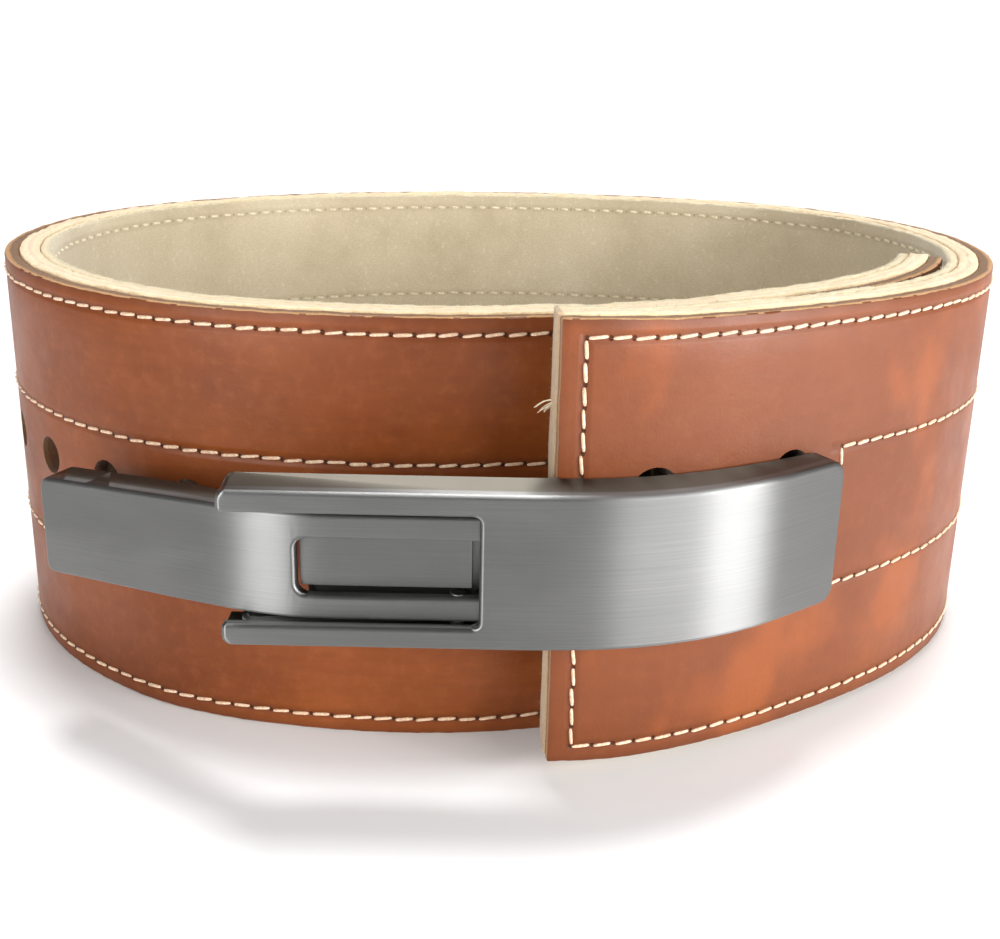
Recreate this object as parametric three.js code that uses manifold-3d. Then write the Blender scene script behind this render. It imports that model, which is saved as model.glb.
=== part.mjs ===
// Weightlifting belt with a lever buckle, fastened and standing on its lower edge.
// Millimetres, +Z up, the buckle faces -Y, the origin is under the middle of the belt.
import * as THREE from 'three';
import { mergeVertices } from 'three/addons/utils/BufferGeometryUtils.js';
import Module from 'manifold-3d';

const wasm = await Module();
wasm.setup();

// Strap: three plies, each a layer of leather over the whole length
const strapWidth = 101.6;
const grainThickness = 3.6;
const coreThickness = 5.0;
const suedeThickness = 3.0;
const glueGap = 0.2;
const strapThickness = grainThickness + coreThickness + suedeThickness + 2 * glueGap;

// Loop seen from above, along the strap's outer face
const loopWidth = 271.2;
const loopDepth = 217.8;
const loopSideToFront = 0.881;
const loopWaves = [
  { waves: 2, cosShare: 0.175, sinShare: 0.017 },
  { waves: 3, cosShare: -0.010, sinShare: 0.034 },
  { waves: 4, cosShare: 0.032, sinShare: 0.012 },
];

// The strap starts at its outer end in front, goes round right, back and left, and ends inside
const outerEndDegrees = -83.8;
const innerEndDegrees = 356;
const tuckStartDegrees = 217;
const tuckFullDegrees = 281;
const mouthGap = 11.5;
const innerEndGap = 1.0;
const outerEndLift = 4.9;
const liftLength = 150;
const stationCount = 112;

// Adjustment holes, counted from the one that holds the claw
const adjustHoleDiameter = 9.5;
const adjustHolePitch = 25.4;
const adjustHoleHeight = 56;
const holesTowardsBack = 3;
const holesTowardsEnd = 8;
const clawReach = 82.4;

// Holes in the outer end for the mounting screws
const screwHoleDiameter = 12.5;
const screwHoleShift = 2.3;
const firstScrewFromEnd = 22;
const screwColumnPitch = 37;
const holeSides = 12;

// Steel sheet and the running clearances
const sheet = 2.6;
const baseSheet = 2.4;
const seatGap = 0.3;
const sideClearance = 0.35;

// Lever handle: its face is straight over the mouth and curves back with the belt
const handleHeight = 34.5;
const handleStandOff = 12.2;
const handleTipReach = 69;
const handleBendStart = -7;
const handleBendRadius = 90;
const handleBendDegrees = 40;
const handleFlatEnd = 19.5;
const handleCornerRadius = 4;
const armTipRadius = 2.2;
const armHeight = 4.9;
const slotEndReach = 15.6;
const slotCornerRadius = 1.5;
const handleLeatherGap = 0.7;

// Hook plate: a narrower plate in the handle's slot that curves back to the other strap
const hookRecess = 3;
const hookSideClearance = 0.6;
const hookBendStart = -46;
const hookBendRadius = 64;
const hookBendDegrees = 35;
const hookTailLength = 43;
const hookTailSlope = 0.15;
const hookSlopeEase = 12;
const hookSag = 0.5;
const hookProngHeight = 5.35;
const hookFlangeInside = 5.4;
const hookFlangeOutside = 8;
const hookCornerRadius = 2.5;
const clawWidth = 5.4;
const clawThickness = 4.2;
const clawDepth = 7.5;
const clawTipShare = 0.6;

// Pivots
const basePivotReach = 62;
const hookPivotReach = 20;
const basePinRadius = 1.9;
const hookPinRadius = 1.75;
const pinClearance = 0.2;
const pinSides = 14;
const earRadius = 3.6;
const earThickness = 1.75;
const earGap = 0.35;
const barrelRadius = 3.2;

// Mounting plate: lies on the outer end, runs left behind the hook plate and carries the ears
const baseLength = 70;
const baseBehindHook = 2 * barrelRadius + sideClearance;
const tongueSideClearance = 0.8;
const tongueRecess = 2.9;
const tongueLeftReach = 53;
const tongueRightReach = 17.2;
const tongueOverhang = 1;

// Mounting screws
const screwPostDiameter = 6;
const screwHeadDiameter = 15;
const screwHeadThickness = 2.4;
const screwHeadGap = 0.8;
const screwEdge = 4.15;
const screwSides = 14;

const radians = THREE.MathUtils.degToRad;
const vec = (x, y) => new THREE.Vector2(x, y);

// Loop outline
function rawLoopPoint(degrees) {
  const angle = radians(degrees);
  let reach = 1;
  for (const row of loopWaves) {
    reach += row.cosShare * Math.cos(row.waves * angle) + row.sinShare * Math.sin(row.waves * angle);
  }
  return vec(loopSideToFront * reach * Math.cos(angle), reach * Math.sin(angle));
}

const rawBox = new THREE.Box2();
for (let degrees = 0; degrees < 360; degrees += 0.5) rawBox.expandByPoint(rawLoopPoint(degrees));
const rawSize = rawBox.getSize(vec(0, 0));
const rawMiddle = rawBox.getCenter(vec(0, 0));

function loopPoint(degrees) {
  const raw = rawLoopPoint(degrees);
  const x = (raw.x - rawMiddle.x) * loopWidth / rawSize.x;
  const y = (raw.y - rawMiddle.y) * loopDepth / rawSize.y;
  return vec(x, y);
}

function outwardNormal(before, after) {
  const along = after.clone().sub(before).normalize();
  return vec(along.y, -along.x);
}

// How far the strap's outer face lies inside the closed outline, where it tucks in behind the outer end
function tuckDepth(degrees) {
  const ramp = THREE.MathUtils.smoothstep(degrees, tuckStartDegrees, tuckFullDegrees);
  const mouthDegrees = outerEndDegrees + 360;
  const share = THREE.MathUtils.clamp((degrees - mouthDegrees) / (innerEndDegrees - mouthDegrees), 0, 1);
  const gap = THREE.MathUtils.lerp(mouthGap, innerEndGap, share);
  return ramp * (strapThickness + gap);
}

function outerFacePoint(degrees) {
  const half = 0.25;
  const normal = outwardNormal(loopPoint(degrees - half), loopPoint(degrees + half));
  return loopPoint(degrees).addScaledVector(normal, -tuckDepth(degrees));
}

// Stations along the strap, with the length measured from the outer end
function makeStations() {
  const fine = 8 * stationCount;
  const step = (innerEndDegrees - outerEndDegrees) / fine;
  const points = [];
  for (let i = 0; i <= fine; i += 1) points.push(outerFacePoint(outerEndDegrees + i * step));
  const lengths = [0];
  for (let i = 1; i <= fine; i += 1) lengths.push(lengths[i - 1] + points[i].distanceTo(points[i - 1]));
  return { points, lengths, total: lengths[fine] };
}

const path = makeStations();

function pathAt(length) {
  const { points, lengths, total } = path;
  const wanted = THREE.MathUtils.clamp(length, 0, total);
  let i = 1;
  while (i < points.length - 1 && lengths[i] < wanted) i += 1;
  const share = (wanted - lengths[i - 1]) / (lengths[i] - lengths[i - 1]);
  const point = points[i - 1].clone().lerp(points[i], share);
  const last = points.length - 1;
  const normal = outwardNormal(points[Math.max(0, i - 3)], points[Math.min(last, i + 2)]);
  return { point, normal };
}

// The outer end stands a little off the ground, and the lift fades along the strap
function liftAt(length) {
  return outerEndLift * Math.max(0, 1 - length / liftLength);
}

// Mesh and solid helpers
function toSolid(geometry) {
  const plain = geometry.clone();
  plain.deleteAttribute('normal');
  plain.deleteAttribute('uv');
  const merged = mergeVertices(plain, 1e-4);
  const vertProperties = new Float32Array(merged.attributes.position.array);
  const triVerts = new Uint32Array(merged.index.array);
  return new wasm.Manifold(new wasm.Mesh({ numProp: 3, vertProperties, triVerts }));
}

function toGeometry(solid) {
  const mesh = solid.getMesh();
  const geometry = new THREE.BufferGeometry();
  geometry.setAttribute('position', new THREE.BufferAttribute(new Float32Array(mesh.vertProperties), 3));
  geometry.setIndex(Array.from(mesh.triVerts));
  return geometry;
}

function joinAll(solids) {
  return solids.reduce((whole, next) => whole.add(next));
}

function cutAll(solid, tools) {
  return tools.reduce((left, tool) => left.subtract(tool), solid);
}

// A solid on a plan outline, between two heights
function planSolid(points, low, high) {
  const options = { depth: high - low, bevelEnabled: false };
  const geometry = new THREE.ExtrudeGeometry(new THREE.Shape(points), options);
  return toSolid(geometry.translate(0, 0, low));
}

// A solid on an outline seen from the front (x across, height up), between two depths
function frontSolid(shape, nearY, farY) {
  const options = { depth: farY - nearY, bevelEnabled: false, curveSegments: 4 };
  const geometry = new THREE.ExtrudeGeometry(shape, options);
  return toSolid(geometry.rotateX(Math.PI / 2).translate(0, farY, 0));
}

function roundedFront(left, right, low, high, leftRadius, rightRadius) {
  const shape = new THREE.Shape();
  shape.moveTo(left + leftRadius, low);
  shape.lineTo(right - rightRadius, low);
  shape.absarc(right - rightRadius, low + rightRadius, rightRadius, -Math.PI / 2, 0);
  shape.absarc(right - rightRadius, high - rightRadius, rightRadius, 0, Math.PI / 2);
  shape.absarc(left + leftRadius, high - leftRadius, leftRadius, Math.PI / 2, Math.PI);
  shape.absarc(left + leftRadius, low + leftRadius, leftRadius, Math.PI, 1.5 * Math.PI);
  return shape;
}

// An upright rod, for pivots and their holes
function uprightRod(centre, radius, low, high, sides) {
  const geometry = new THREE.CylinderGeometry(radius, radius, high - low, sides);
  return toSolid(geometry.rotateX(Math.PI / 2).translate(centre.x, centre.y, (low + high) / 2));
}

// A level rod through the strap, along its normal, that stands out by the spare length on both sides
function crossRod(length, height, diameter, sides, spare) {
  const { point, normal } = pathAt(length);
  const reach = strapThickness + 2 * spare;
  const geometry = new THREE.CylinderGeometry(diameter / 2, diameter / 2, reach, sides);
  geometry.rotateZ(Math.atan2(normal.y, normal.x) - Math.PI / 2);
  const middle = point.clone().addScaledVector(normal, -strapThickness / 2);
  return toSolid(geometry.translate(middle.x, middle.y, height));
}

// Holes of the strap: the same tools cut all three plies
const mouthLengthOfClaw = path.total - innerRunAfterClaw();

function innerRunAfterClaw() {
  const mouth = outerFacePoint(outerEndDegrees + 360);
  let nearest = 0;
  for (let i = 1; i < path.points.length; i += 1) {
    const late = path.lengths[i] > path.total / 2;
    if (late && path.points[i].distanceTo(mouth) < path.points[nearest].distanceTo(mouth)) nearest = i;
  }
  return path.total - path.lengths[nearest] + clawReach;
}

const screwLengths = [firstScrewFromEnd, firstScrewFromEnd + screwColumnPitch];
// Half heights of the buckle's pieces, and the screws' heights, from the handle's height
const hookHalf = handleHeight / 2 - armHeight - hookSideClearance;
const earInner = hookHalf + hookSag + earGap;
const baseHalf = earInner + earThickness;
const screwRise = baseHalf - screwEdge;
const screwHoleRise = screwRise + screwHoleShift;

const strapTools = [];
for (let i = -holesTowardsBack; i <= holesTowardsEnd; i += 1) {
  const length = mouthLengthOfClaw + i * adjustHolePitch;
  strapTools.push(crossRod(length, adjustHoleHeight, adjustHoleDiameter, holeSides, innerEndGap / 2));
}
for (const length of screwLengths) {
  for (const side of [-1, 1]) {
    const height = strapWidth / 2 + liftAt(length) + side * screwHoleRise;
    strapTools.push(crossRod(length, height, screwHoleDiameter, holeSides, innerEndGap / 2));
  }
}

// One ply: a band between two depths under the outer face
function ply(nearDepth, farDepth) {
  const corners = [];
  for (let i = 0; i <= stationCount; i += 1) {
    const length = path.total * i / stationCount;
    const { point, normal } = pathAt(length);
    const low = liftAt(length);
    const near = point.clone().addScaledVector(normal, -nearDepth);
    const far = point.clone().addScaledVector(normal, -farDepth);
    corners.push(near.x, near.y, low, near.x, near.y, low + strapWidth);
    corners.push(far.x, far.y, low + strapWidth, far.x, far.y, low);
  }
  const faces = [0, 1, 2, 0, 2, 3];
  for (let i = 0; i < stationCount; i += 1) {
    for (let side = 0; side < 4; side += 1) {
      const a = 4 * i + side;
      const b = 4 * i + (side + 1) % 4;
      faces.push(a, a + 4, b + 4, a, b + 4, b);
    }
  }
  const last = 4 * stationCount;
  faces.push(last, last + 2, last + 1, last, last + 3, last + 2);
  const geometry = new THREE.BufferGeometry();
  geometry.setAttribute('position', new THREE.Float32BufferAttribute(corners, 3));
  geometry.setIndex(faces);
  return toGeometry(cutAll(toSolid(geometry), strapTools));
}

// Buckle plan: x and y run from the outer end's front corner
const mouth = outerFacePoint(outerEndDegrees);
const buckleHeight = strapWidth / 2 + outerEndLift;
const handleFaceY = mouth.y - handleStandOff;
const pivotY = handleFaceY + hookRecess + barrelRadius;
const basePivot = vec(mouth.x - basePivotReach, pivotY);
const hookPivot = vec(mouth.x - hookPivotReach, pivotY);

// A plate's face line: straight, then an arc that bends back, then straight; side is 1 to the right
function bentLine(startX, bendX, faceY, radius, degrees, flatEnd, side, depth) {
  const bend = mouth.x + bendX;
  const line = [vec(mouth.x + startX, faceY + depth)];
  const steps = 10;
  for (let i = 0; i <= steps; i += 1) {
    const angle = radians(degrees) * i / steps;
    const reach = radius - depth;
    line.push(vec(bend + side * reach * Math.sin(angle), faceY + radius - reach * Math.cos(angle)));
  }
  const angle = radians(degrees);
  const end = line[line.length - 1].clone();
  line.push(end.add(vec(side * flatEnd * Math.cos(angle), flatEnd * Math.sin(angle))));
  return line;
}

function handleLine(depth) {
  const bend = [handleBendStart, handleFaceY, handleBendRadius, handleBendDegrees];
  return bentLine(-handleTipReach, ...bend, handleFlatEnd, 1, depth);
}

function hookLine(depth) {
  const bend = [hookBendStart, handleFaceY + hookRecess, hookBendRadius, hookBendDegrees];
  return bentLine(-hookPivotReach, ...bend, hookTailLength, -1, depth);
}

// The depth of a face line at a given place across
function lineDepth(line, x) {
  const sorted = [...line].sort((a, b) => a.x - b.x);
  let i = 1;
  while (i < sorted.length - 1 && sorted[i].x < x) i += 1;
  const [from, to] = [sorted[i - 1], sorted[i]];
  return THREE.MathUtils.mapLinear(x, from.x, to.x, from.y, to.y);
}

// The stretch of a face line between two places, with its ends exactly there
function lineBetween(line, left, right) {
  const inner = line.filter((point) => point.x > left && point.x < right);
  const ends = [left, right].map((x) => vec(x, lineDepth(line, x)));
  return [...inner, ...ends].sort((a, b) => a.x - b.x);
}

// The lift fades under the buckle too, so its right part comes down with the strap
function followStrap(geometry) {
  const position = geometry.attributes.position;
  for (let i = 0; i < position.count; i += 1) {
    const length = Math.max(0, position.getX(i) - mouth.x);
    position.setZ(i, position.getZ(i) + buckleHeight - outerEndLift + liftAt(length));
  }
  return geometry;
}

// Lever handle
function leverHandle() {
  const half = handleHeight / 2;
  const face = planSolid([...handleLine(0), ...handleLine(sheet).reverse()], -half, half);
  const backLine = [vec(mouth.x - handleTipReach, mouth.y - handleLeatherGap)];
  const handleEnd = handleLine(0).pop();
  const backStep = 6;
  for (let length = 0; length < 2 * handleTipReach; length += backStep) {
    const { point, normal } = pathAt(length);
    const next = point.clone().addScaledVector(normal, handleLeatherGap);
    if (next.x < handleEnd.x - handleLeatherGap) backLine.push(next);
  }
  const flangeOutline = [...handleLine(0), ...backLine.reverse()];
  const upper = planSolid(flangeOutline, half - sheet, half);
  const lower = planSolid(flangeOutline, -half, sheet - half);
  const left = mouth.x - handleTipReach;
  const depthRoom = [handleFaceY - sheet, handleFaceY + loopDepth / 2];
  const outline = roundedFront(left, handleEnd.x, -half, half, armTipRadius, handleCornerRadius);
  const slotHalf = half - armHeight;
  const slotRight = mouth.x - slotEndReach;
  const slotCorners = [slotCornerRadius, slotCornerRadius];
  const slot = roundedFront(left - 3 * slotCornerRadius, slotRight, -slotHalf, slotHalf, ...slotCorners);
  const body = joinAll([face, upper, lower]).intersect(frontSolid(outline, ...depthRoom));
  const holes = [
    uprightRod(basePivot, basePinRadius + pinClearance, -handleHeight, handleHeight, pinSides),
    uprightRod(hookPivot, hookPinRadius + pinClearance, -handleHeight, handleHeight, pinSides),
  ];
  return followStrap(toGeometry(cutAll(body, [frontSolid(slot, ...depthRoom), ...holes])));
}

// Hook plate with its claw
const tongueHeight = 2 * (hookHalf - hookProngHeight - tongueSideClearance);

// The plate hangs a little low on its pins, and its tail runs down beyond the base pivot
function hookDroop(x) {
  const beyond = Math.max(0, basePivot.x - 2 * earRadius - x);
  const eased = Math.min(beyond, hookSlopeEase);
  return hookSag + hookTailSlope * (beyond - eased + eased * eased / (2 * hookSlopeEase));
}

function hookPlate() {
  const face = planSolid([...hookLine(0), ...hookLine(sheet).reverse()], -hookHalf, hookHalf);
  const shallow = hookLine(hookFlangeInside);
  const deep = hookLine(hookFlangeOutside);
  const flangeBack = shallow.map((point, i) => (point.x < basePivot.x - earRadius ? deep[i] : point));
  const flangeOutline = [...hookLine(0), ...flangeBack.reverse()];
  const upper = planSolid(flangeOutline, hookHalf - sheet, hookHalf);
  const lower = planSolid(flangeOutline, -hookHalf, sheet - hookHalf);
  const barrel = uprightRod(hookPivot, barrelRadius, -hookHalf, hookHalf, pinSides);
  const windowHalf = hookHalf - hookProngHeight;
  const tongueLeft = mouth.x - tongueLeftReach;
  const windowRight = hookPivot.x + 2 * barrelRadius;
  const windowLeft = tongueLeft - windowHalf + tongueHeight / 2;
  const opening = roundedFront(windowLeft, windowRight, -windowHalf, windowHalf, hookCornerRadius, 0.01);
  const tail = hookLine(0).pop();
  const outline = roundedFront(tail.x, windowRight, -hookHalf, hookHalf, hookCornerRadius, 0.01);
  const depthRoom = [handleFaceY - sheet, handleFaceY + loopDepth / 2];
  const body = joinAll([face, upper, lower, barrel]).intersect(frontSolid(outline, ...depthRoom));
  const pinHole = uprightRod(hookPivot, hookPinRadius + pinClearance, -handleHeight, handleHeight, pinSides);
  const plate = cutAll(body, [frontSolid(opening, ...depthRoom), pinHole]);
  const geometry = followStrap(toGeometry(plate));
  const position = geometry.attributes.position;
  for (let i = 0; i < position.count; i += 1) {
    position.setZ(i, position.getZ(i) - hookDroop(position.getX(i)));
  }
  return toGeometry(toSolid(geometry).add(clawSolid()));
}

// The claw runs from the hook plate's back into its hole in the strap
function clawSolid() {
  const { point, normal } = pathAt(mouthLengthOfClaw);
  const seat = hookLine(sheet / 2);
  const tailStart = seat[seat.length - 2];
  const tailWay = seat[seat.length - 1].clone().sub(tailStart);
  const offset = tailStart.clone().sub(point);
  const out = offset.cross(tailWay) / normal.cross(tailWay);
  const root = point.clone().addScaledVector(normal, out);
  const tip = point.clone().addScaledVector(normal, -clawDepth);
  const along = vec(-normal.y, normal.x).multiplyScalar(clawThickness / 2);
  const outline = [root.clone().sub(along), root.clone().add(along)];
  outline.push(tip.clone().addScaledVector(along, clawTipShare));
  outline.push(tip.clone().addScaledVector(along, -clawTipShare));
  const low = adjustHoleHeight - clawWidth / 2;
  return planSolid(outline, low, low + clawWidth);
}

// Mounting plate
function mountingPlate() {
  const front = [];
  const back = [];
  const baseSteps = 14;
  for (let i = 0; i <= baseSteps; i += 1) {
    const { point, normal } = pathAt(baseLength * i / baseSteps);
    back.push(point.clone().addScaledVector(normal, seatGap));
    front.push(point.clone().addScaledVector(normal, seatGap + baseSheet));
  }
  const onLeather = planSolid([...front, ...back.reverse()], -baseHalf, baseHalf);
  const webLeft = mouth.x - tongueLeftReach + tongueOverhang;
  const webFront = lineBetween(hookLine(baseBehindHook), webLeft, hookPivot.x);
  const webBack = webFront.map((point) => vec(point.x, point.y + baseSheet));
  webFront.push(vec(mouth.x + seatGap, lineDepth(webFront, hookPivot.x)));
  webBack.push(vec(mouth.x + seatGap, mouth.y - seatGap));
  const web = planSolid([...webFront, ...webBack.toReversed()], -baseHalf, baseHalf);
  const leftFront = webFront[0];
  const leftBack = webBack[0];
  const rightFront = webFront[webFront.length - 1];
  const rightBack = webBack[webBack.length - 1];
  const ears = [];
  const earOutline = [];
  for (let i = 0; i <= 8; i += 1) {
    const angle = Math.PI / 2 + Math.PI * i / 8;
    const spoke = vec(Math.cos(angle), Math.sin(angle)).multiplyScalar(earRadius);
    earOutline.push(spoke.add(basePivot));
  }
  const notchX = hookPivot.x - 2 * hookPinRadius;
  const notchY = hookPivot.y + hookPinRadius + 2 * sideClearance;
  earOutline.push(vec(basePivot.x + 2 * earRadius, basePivot.y - earRadius + sideClearance));
  earOutline.push(vec(notchX, notchY));
  earOutline.push(rightFront, rightBack);
  earOutline.push(leftBack, leftFront);
  const holeRadius = basePinRadius + pinClearance;
  const pinHole = uprightRod(basePivot, holeRadius, -handleHeight, handleHeight, pinSides);
  for (const side of [-1, 1]) {
    const low = side > 0 ? earInner : -baseHalf;
    const ear = planSolid(earOutline, low, low + earThickness);
    ears.push(ear.subtract(pinHole));
  }
  const tongue = centreTongue(webFront);
  const screwHoles = [];
  const holeDiameter = screwPostDiameter + 2 * pinClearance;
  const plateSpare = seatGap + baseSheet + 1;
  for (const length of screwLengths) {
    for (const side of [-1, 1]) {
      screwHoles.push(crossRod(length, side * screwRise, holeDiameter, screwSides, plateSpare));
    }
  }
  const body = cutAll(joinAll([onLeather, web, tongue, ...ears]), screwHoles);
  return followStrap(toGeometry(body));
}

// The tongue is a bridge that stands up from the plate in the hook plate's window
function centreTongue(webFront) {
  const left = mouth.x - tongueLeftReach;
  const right = mouth.x - tongueRightReach;
  const top = lineBetween(hookLine(tongueRecess), left, right);
  const under = lineBetween(hookLine(tongueRecess + baseSheet), left + baseSheet, right - baseSheet);
  const footLeft = webFront[0].clone().add(vec(0, baseSheet / 2));
  const floor = lineDepth(webFront, right) + baseSheet / 2;
  const outline = [...top, vec(right, floor), vec(right - baseSheet, floor), ...under.reverse()];
  outline.push(footLeft.clone().add(vec(baseSheet, 0)), footLeft);
  return planSolid(outline, -tongueHeight / 2, tongueHeight / 2);
}

// Pins and screws
function pinGeometry(centre, radius, low, high) {
  return followStrap(toGeometry(uprightRod(centre, radius, low, high, pinSides)));
}

function screwGeometry() {
  const post = screwPostDiameter / 2;
  const head = screwHeadDiameter / 2;
  const postLength = strapThickness + seatGap + baseSheet;
  const edge = screwHeadThickness / 3;
  const headBack = -screwHeadGap - screwHeadThickness;
  const profile = [
    vec(0, headBack),
    vec(head - edge, headBack),
    vec(head, headBack + edge),
    vec(head, -screwHeadGap),
    vec(post, -screwHeadGap),
    vec(post, postLength),
    vec(0, postLength),
  ];
  return new THREE.LatheGeometry(profile, screwSides);
}

// Assembly
function steel(color) {
  return new THREE.MeshStandardMaterial({ color, metalness: 0.95, roughness: 0.32 });
}

function leather(color, roughness) {
  return new THREE.MeshStandardMaterial({ color, metalness: 0, roughness });
}

const belt = new THREE.Group();

function addPiece(name, geometry, material) {
  const mesh = new THREE.Mesh(geometry, material);
  mesh.name = name;
  belt.add(mesh);
  return mesh;
}

const coreDepth = grainThickness + glueGap;
const suedeDepth = coreDepth + coreThickness + glueGap;
addPiece('grain_ply', ply(0, grainThickness), leather(0x9c5429, 0.5));
addPiece('core_ply', ply(coreDepth, coreDepth + coreThickness), leather(0xe0c39a, 0.9));
addPiece('suede_lining', ply(suedeDepth, strapThickness), leather(0x9c9274, 0.95));
addPiece('mounting_plate', mountingPlate(), steel(0x9a9a98));
addPiece('lever_handle', leverHandle(), steel(0xa6a8aa));
addPiece('hook_plate', hookPlate(), steel(0xa29f9a));

const pinHalf = handleHeight / 2 - pinClearance;
const prongInner = hookHalf - hookProngHeight + pinClearance;
for (const [name, side] of [['upper', 1], ['lower', -1]]) {
  const base = [side * earInner, side * pinHalf].sort((a, b) => a - b);
  const hook = [side * prongInner, side * pinHalf].sort((a, b) => a - b);
  addPiece(`base_pivot_${name}`, pinGeometry(basePivot, basePinRadius, ...base), steel(0x8c8c8a));
  addPiece(`hook_pivot_${name}`, pinGeometry(hookPivot, hookPinRadius, ...hook), steel(0x8c8c8a));
}

let screwNumber = 0;
for (const length of screwLengths) {
  for (const side of [-1, 1]) {
    const { point, normal } = pathAt(length);
    const seat = point.clone().addScaledVector(normal, -strapThickness);
    screwNumber += 1;
    const screw = addPiece(`mounting_screw_${screwNumber}`, screwGeometry(), steel(0x7d7c79));
    screw.rotation.z = Math.atan2(normal.y, normal.x) - Math.PI / 2;
    screw.position.set(seat.x, seat.y, strapWidth / 2 + liftAt(length) + side * screwRise);
  }
}

// The origin goes under the middle of the whole belt
const whole = new THREE.Box3().setFromObject(belt);
const middle = whole.getCenter(new THREE.Vector3());
belt.position.set(-middle.x, -middle.y, -whole.min.z);

const group = new THREE.Group();
group.add(belt);
export default group;
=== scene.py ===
# A leather weightlifting belt with a steel lever buckle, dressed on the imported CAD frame.
# Metres. Straps and plates are modelled flat (x along, y inwards, z up) and then bent along a path.
import math
import random

import bmesh
import bpy
from mathutils import Euler, Matrix, Vector, noise


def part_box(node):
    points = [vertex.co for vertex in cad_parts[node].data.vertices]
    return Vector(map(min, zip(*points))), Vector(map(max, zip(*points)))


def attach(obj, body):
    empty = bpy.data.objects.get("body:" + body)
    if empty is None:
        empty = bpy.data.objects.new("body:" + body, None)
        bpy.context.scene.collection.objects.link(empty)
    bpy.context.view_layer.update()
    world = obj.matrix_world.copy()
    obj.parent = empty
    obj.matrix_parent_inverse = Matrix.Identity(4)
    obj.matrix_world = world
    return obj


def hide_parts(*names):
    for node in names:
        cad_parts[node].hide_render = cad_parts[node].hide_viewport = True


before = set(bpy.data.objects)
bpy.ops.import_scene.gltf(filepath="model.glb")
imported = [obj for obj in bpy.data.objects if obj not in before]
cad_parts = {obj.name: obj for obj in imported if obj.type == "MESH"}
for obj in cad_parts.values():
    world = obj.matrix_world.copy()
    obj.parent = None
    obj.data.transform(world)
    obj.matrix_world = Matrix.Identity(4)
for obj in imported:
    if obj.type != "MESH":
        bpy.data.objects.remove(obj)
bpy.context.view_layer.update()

random.seed(7)
print("frame loaded")

# General helpers


def deselectAll():
    if bpy.context.mode != "OBJECT":
        bpy.ops.object.mode_set(mode="OBJECT")
    bpy.ops.object.select_all(action="DESELECT")


def makeActive(obj):
    deselectAll()
    obj.select_set(True)
    bpy.context.view_layer.objects.active = obj


def applyAll(obj):
    makeActive(obj)
    for modifier in list(obj.modifiers):
        bpy.ops.object.modifier_apply(modifier=modifier.name)


def meshObject(name, mesh):
    obj = bpy.data.objects.new(name, mesh)
    bpy.context.scene.collection.objects.link(obj)
    return obj


def fromBmesh(name, bm):
    mesh = bpy.data.meshes.new(name)
    bm.to_mesh(mesh)
    bm.free()
    return meshObject(name, mesh)


def removeObject(obj):
    bpy.data.objects.remove(obj, do_unlink=True)


def smoothStep(value, low, high):
    share = min(1.0, max(0.0, (value - low) / (high - low)))
    return share * share * (3 - 2 * share)


def makeCurve(name, points):
    data = bpy.data.curves.new(name, "CURVE")
    data.dimensions = "3D"
    data.twist_mode = "Z_UP"
    spline = data.splines.new("POLY")
    spline.points.add(len(points) - 1)
    for splinePoint, point in zip(spline.points, points):
        splinePoint.co = (point[0], point[1], 0.0, 1.0)
    curve = bpy.data.objects.new(name, data)
    bpy.context.scene.collection.objects.link(curve)
    return curve


def bendAlong(obj, curve):
    modifier = obj.modifiers.new("bend", "CURVE")
    modifier.object = curve
    modifier.deform_axis = "POS_X"
    applyAll(obj)


def boolean(obj, tool, operation="DIFFERENCE"):
    modifier = obj.modifiers.new("boolean", "BOOLEAN")
    modifier.operation = operation
    modifier.solver = "EXACT"
    modifier.object = tool
    applyAll(obj)
    removeObject(tool)


def shadeSmooth(obj, degrees):
    makeActive(obj)
    bpy.ops.object.shade_smooth_by_angle(angle=math.radians(degrees))


# Two maps from the flat shape: one of length and height, one of length and depth
def flatMaps(obj):
    mesh = obj.data
    while mesh.uv_layers:
        mesh.uv_layers.remove(mesh.uv_layers[0])
    flat = mesh.uv_layers.new(name="flat")
    edge = mesh.uv_layers.new(name="edge")
    for loop in mesh.loops:
        x, y, z = mesh.vertices[loop.vertex_index].co
        flat.data[loop.index].uv = (x, z)
        edge.data[loop.index].uv = (x, y)


# The strap's path, the same as in the CAD source

strap = {
    "width": 0.1016,
    "grain": 0.0036,
    "core": 0.0050,
    "suede": 0.0030,
    "glue": 0.0002,
    "loopWidth": 0.2712,
    "loopDepth": 0.2178,
    "sideToFront": 0.881,
    "waves": [(2, 0.175, 0.017), (3, -0.010, 0.034), (4, 0.032, 0.012)],
    "outerEnd": -83.8,
    "innerEnd": 356.0,
    "tuckStart": 217.0,
    "tuckFull": 281.0,
    "mouthGap": 0.0115,
    "innerGap": 0.0010,
    "lift": 0.0049,
    "liftLength": 0.150,
    "steps": 896,
}
strapThickness = strap["grain"] + strap["core"] + strap["suede"] + 2 * strap["glue"]


def rawLoopPoint(degrees):
    angle = math.radians(degrees)
    reach = 1.0
    for waves, cosShare, sinShare in strap["waves"]:
        reach += cosShare * math.cos(waves * angle) + sinShare * math.sin(waves * angle)
    return Vector((strap["sideToFront"] * reach * math.cos(angle), reach * math.sin(angle)))


rawPoints = [rawLoopPoint(0.5 * i) for i in range(720)]
rawLow = Vector((min(p.x for p in rawPoints), min(p.y for p in rawPoints)))
rawHigh = Vector((max(p.x for p in rawPoints), max(p.y for p in rawPoints)))
grainLow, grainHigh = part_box("grain_ply")
loopMiddle = Vector(((grainLow[0] + grainHigh[0]) / 2, grainHigh[1] - strap["loopDepth"] / 2))


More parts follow.
